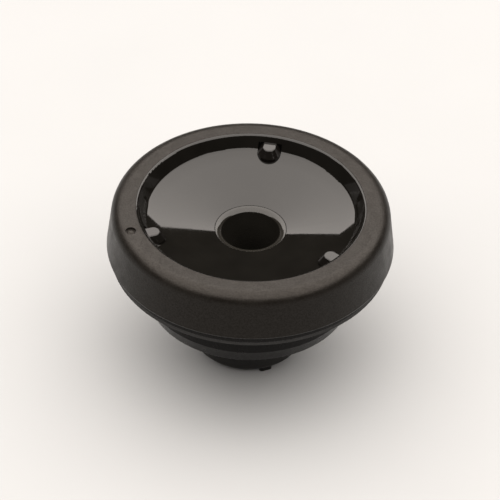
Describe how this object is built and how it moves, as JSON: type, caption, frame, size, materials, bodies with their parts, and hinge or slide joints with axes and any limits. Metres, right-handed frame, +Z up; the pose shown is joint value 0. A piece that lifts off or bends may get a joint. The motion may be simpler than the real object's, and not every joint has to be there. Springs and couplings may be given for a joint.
{
  "type": "desk grommet",
  "caption": "Round cable outlet for a desk hole: a matte trim ring round a glossy dish with screw caps, a central cable hole and a screw-down cable gland below.",
  "frame": {"origin": "on the axis, in the plane of the desk top that the gasket rests on", "axes": "+Z up along the axis out of the desk, +Y towards the back, +X to the right"},
  "size_m": [0.0776, 0.0776, 0.0483],
  "materials": {
    "ring_plastic": "fine spark-eroded satin, warm black",
    "dish_plastic": "polished piano black",
    "cap_plastic": "polished black",
    "sleeve_plastic": "satin black",
    "gasket_rubber": "soft black rubber",
    "gland_plastic": "semi-gloss black",
    "washer_rubber": "soft black rubber",
    "seal_rubber": "soft black rubber",
    "cage_plastic": "satin black nylon",
    "slip_plastic": "natural low-friction plastic",
    "nut_plastic": "polished black",
    "screw_steel": "zinc-plated steel",
    "insert_brass": "plain brass"
  },
  "bodies": {
    "grommet": {"trim_ring": "ring_plastic", "dish": "dish_plastic", "sleeve": "sleeve_plastic", "desk_gasket": "gasket_rubber", "gland_body": "gland_plastic", "sealing_washer": "washer_rubber", "cable_seal": "seal_rubber", "clamp_cage": "cage_plastic", "screw_cap_1": "cap_plastic", "dish_screw_1": "screw_steel", "threaded_insert_1": "insert_brass", "screw_cap_2": "cap_plastic", "dish_screw_2": "screw_steel", "threaded_insert_2": "insert_brass", "screw_cap_3": "cap_plastic", "dish_screw_3": "screw_steel", "threaded_insert_3": "insert_brass"},
    "nut_lead": {"slip_ring": "slip_plastic"},
    "nut": {"gland_nut": "nut_plastic"}
  },
  "joints": [
    {"name": "nut_travel", "type": "slide", "parent": "grommet", "child": "nut_lead", "axis": [0, 0, 1], "range_m": [-0.0045, 0]},
    {"name": "nut_turn", "type": "hinge", "parent": "nut_lead", "child": "nut", "pos_m": [0, 0, 0], "axis": [0, 0, 1], "range_deg": [-1080, 0]}
  ],
  "couplings": [
    {"joint": "nut_travel", "follows": "nut_turn", "m_per_rad": 0.00023873}
  ]
}
